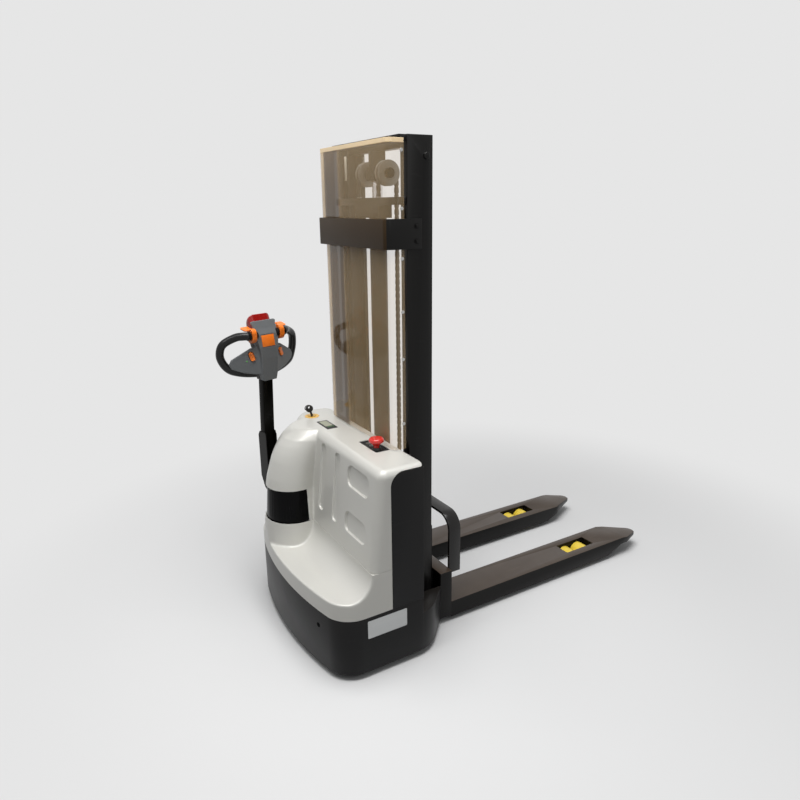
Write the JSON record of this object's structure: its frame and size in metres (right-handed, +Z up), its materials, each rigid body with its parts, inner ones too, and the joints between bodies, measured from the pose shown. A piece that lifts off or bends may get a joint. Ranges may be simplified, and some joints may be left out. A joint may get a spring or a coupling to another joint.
{
  "type": "electric stacker",
  "caption": "Walk-behind electric stacker with a tiller-steered power unit, a two-stage mast with a lift cylinder and chains, and forks over load legs.",
  "frame": {"origin": "on the floor in the middle plane, just ahead of the mast", "axes": "+X to the right seen from behind, +Y forward along the forks, +Z up"},
  "size_m": [0.8736, 1.8813, 1.9],
  "materials": {
    "black_steel": "satin black powder coat",
    "mast_black": "satin black powder coat",
    "silver_cover": "silver moulded plastic with a satin gloss",
    "clear_guard": "clear polycarbonate",
    "bright_steel": "plain",
    "chrome_rod": "hard chrome",
    "chain_steel": "oiled",
    "pad_nylon": "plain",
    "battery_case": "plain",
    "unit_black": "plain",
    "controller_alu": "plain",
    "cast_grey": "plain",
    "panel_black": "plain",
    "brass": "satin",
    "key_black": "plain",
    "red": "gloss",
    "wheel_tread": "plain",
    "roller_yellow": "polyurethane",
    "gloss_black": "gloss",
    "head_grey": "fine grain",
    "head_black": "fine grain",
    "grip": "plain",
    "orange": "satin"
  },
  "bodies": {
    "chassis": {"base_frame": "black_steel", "support_leg_left": "black_steel", "support_leg_right": "black_steel", "roller_axles": "bright_steel", "outer_mast": "mast_black", "mast_bracket": "mast_black", "upper_guard": "clear_guard", "lower_guard": "clear_guard", "guard_screws": "bright_steel", "side_panel_left": "black_steel", "side_panel_right": "black_steel", "front_bulkhead": "black_steel", "upper_cover": "silver_cover", "lower_cover": "silver_cover", "lift_cylinder": "mast_black", "cylinder_clamp": "mast_black", "battery_pack": "battery_case", "pump_unit": "unit_black", "motor_controller": "controller_alu", "turntable_ring": "bright_steel", "control_panel": "panel_black", "key_switch": "brass", "upper_slide_pads": "pad_nylon", "rear_chains": "chain_steel"},
    "steering": {"drive_unit": "cast_grey", "steering_band": "gloss_black", "tiller_bracket": "cast_grey", "tiller_pin": "bright_steel"},
    "drive_wheel": {"drive_hub": "cast_grey", "drive_tyre": "wheel_tread"},
    "tiller": {"tiller_arm": "mast_black", "tiller_shroud": "head_black", "head_shell": "head_black", "head_cover": "head_grey", "hand_grips": "grip", "head_panel": "orange"},
    "belly_switch": {"belly_switch": "red"},
    "throttle": {"throttle_lever": "orange"},
    "rocker_left": {"rocker_left": "orange"},
    "rocker_right": {"rocker_right": "orange"},
    "estop": {"estop_button": "red"},
    "key": {"ignition_key": "key_black"},
    "caster": {"caster_fork": "bright_steel"},
    "caster_wheel": {"caster_wheel": "wheel_tread"},
    "mast_stage": {"inner_mast": "mast_black", "piston_rod": "chrome_rod", "crosshead": "mast_black", "lower_slide_pads": "pad_nylon", "chain_wraps": "chain_steel", "front_chains": "chain_steel"},
    "pulley_left": {"pulley_left": "bright_steel"},
    "pulley_right": {"pulley_right": "bright_steel"},
    "carriage": {"fork_carriage": "black_steel", "fork_left": "black_steel", "fork_right": "black_steel", "load_hoop": "black_steel"},
    "roller_1": {"load_roller_1": "roller_yellow"},
    "roller_2": {"load_roller_2": "roller_yellow"},
    "roller_3": {"load_roller_3": "roller_yellow"},
    "roller_4": {"load_roller_4": "roller_yellow"}
  },
  "joints": [
    {"name": "steering_turn", "type": "hinge", "parent": "chassis", "child": "steering", "pos_m": [-0.217, -0.399, 0.1], "axis": [0, 0, 1], "range_deg": [0, 150]},
    {"name": "drive_spin", "type": "hinge", "parent": "steering", "child": "drive_wheel", "pos_m": [-0.217, -0.399, 0.105], "axis": [0.2588, -0.9659, 0], "continuous": true},
    {"name": "tiller_tilt", "type": "hinge", "parent": "steering", "child": "tiller", "pos_m": [-0.29814, -0.42074, 0.512], "axis": [0.2588, -0.9659, 0], "range_deg": [0, 70], "stiffness_Nm_per_rad": 45, "springref_deg": -17.19},
    {"name": "belly_press", "type": "slide", "parent": "tiller", "child": "belly_switch", "axis": [0, 0, 1], "range_m": [-0.008, 0], "stiffness_N_per_m": 2000, "springref_m": 0.003},
    {"name": "throttle_turn", "type": "hinge", "parent": "tiller", "child": "throttle", "pos_m": [-0.33001, -0.42928, 1.178], "axis": [0.2588, -0.9659, 0], "range_deg": [-18, 18], "stiffness_Nm_per_rad": 2},
    {"name": "rocker_left_tip", "type": "hinge", "parent": "tiller", "child": "rocker_left", "pos_m": [-0.36059, -0.36654, 1.092], "axis": [-0.6211, 0.7837, 0], "range_deg": [-10, 10], "stiffness_Nm_per_rad": 0.3},
    {"name": "rocker_right_tip", "type": "hinge", "parent": "tiller", "child": "rocker_right", "pos_m": [-0.32512, -0.49891, 1.092], "axis": [-0.1461, -0.9893, 0], "range_deg": [-10, 10], "stiffness_Nm_per_rad": 0.3},
    {"name": "estop_press", "type": "slide", "parent": "chassis", "child": "estop", "axis": [0, 0, 1], "range_m": [-0.006, 0], "stiffness_N_per_m": 2000, "springref_m": 0.003},
    {"name": "key_turn", "type": "hinge", "parent": "chassis", "child": "key", "pos_m": [-0.304, -0.257, 0.8], "axis": [0, 0, 1], "range_deg": [0, 90]},
    {"name": "caster_swivel", "type": "hinge", "parent": "chassis", "child": "caster", "pos_m": [0.25, -0.399, 0.2], "axis": [0, 0, 1], "continuous": true},
    {"name": "caster_spin", "type": "hinge", "parent": "caster", "child": "caster_wheel", "pos_m": [0.25, -0.431, 0.062], "axis": [1, 0, 0], "continuous": true},
    {"name": "mast_slide", "type": "slide", "parent": "chassis", "child": "mast_stage", "axis": [0, 0, 1], "range_m": [0, 1.25], "deforming": ["rear_chains"]},
    {"name": "pulley_left_turn", "type": "hinge", "parent": "mast_stage", "child": "pulley_left", "pos_m": [-0.075, -0.078, 1.787], "axis": [1, 0, 0], "continuous": true},
    {"name": "pulley_right_turn", "type": "hinge", "parent": "mast_stage", "child": "pulley_right", "pos_m": [0.075, -0.078, 1.787], "axis": [1, 0, 0], "continuous": true},
    {"name": "carriage_slide", "type": "slide", "parent": "mast_stage", "child": "carriage", "axis": [0, 0, 1], "range_m": [0, 1.25], "deforming": ["front_chains"]},
    {"name": "roller_1_spin", "type": "hinge", "parent": "chassis", "child": "roller_1", "pos_m": [-0.214, 0.815, 0.04], "axis": [1, 0, 0], "continuous": true},
    {"name": "roller_2_spin", "type": "hinge", "parent": "chassis", "child": "roller_2", "pos_m": [-0.214, 0.899, 0.04], "axis": [1, 0, 0], "continuous": true},
    {"name": "roller_3_spin", "type": "hinge", "parent": "chassis", "child": "roller_3", "pos_m": [0.214, 0.815, 0.04], "axis": [1, 0, 0], "continuous": true},
    {"name": "roller_4_spin", "type": "hinge", "parent": "chassis", "child": "roller_4", "pos_m": [0.214, 0.899, 0.04], "axis": [1, 0, 0], "continuous": true}
  ],
  "couplings": [
    {"joint": "carriage_slide", "follows": "mast_slide", "ratio": 1},
    {"joint": "pulley_left_turn", "follows": "mast_slide", "rad_per_m": 27.027},
    {"joint": "pulley_right_turn", "follows": "mast_slide", "rad_per_m": 27.027}
  ]
}
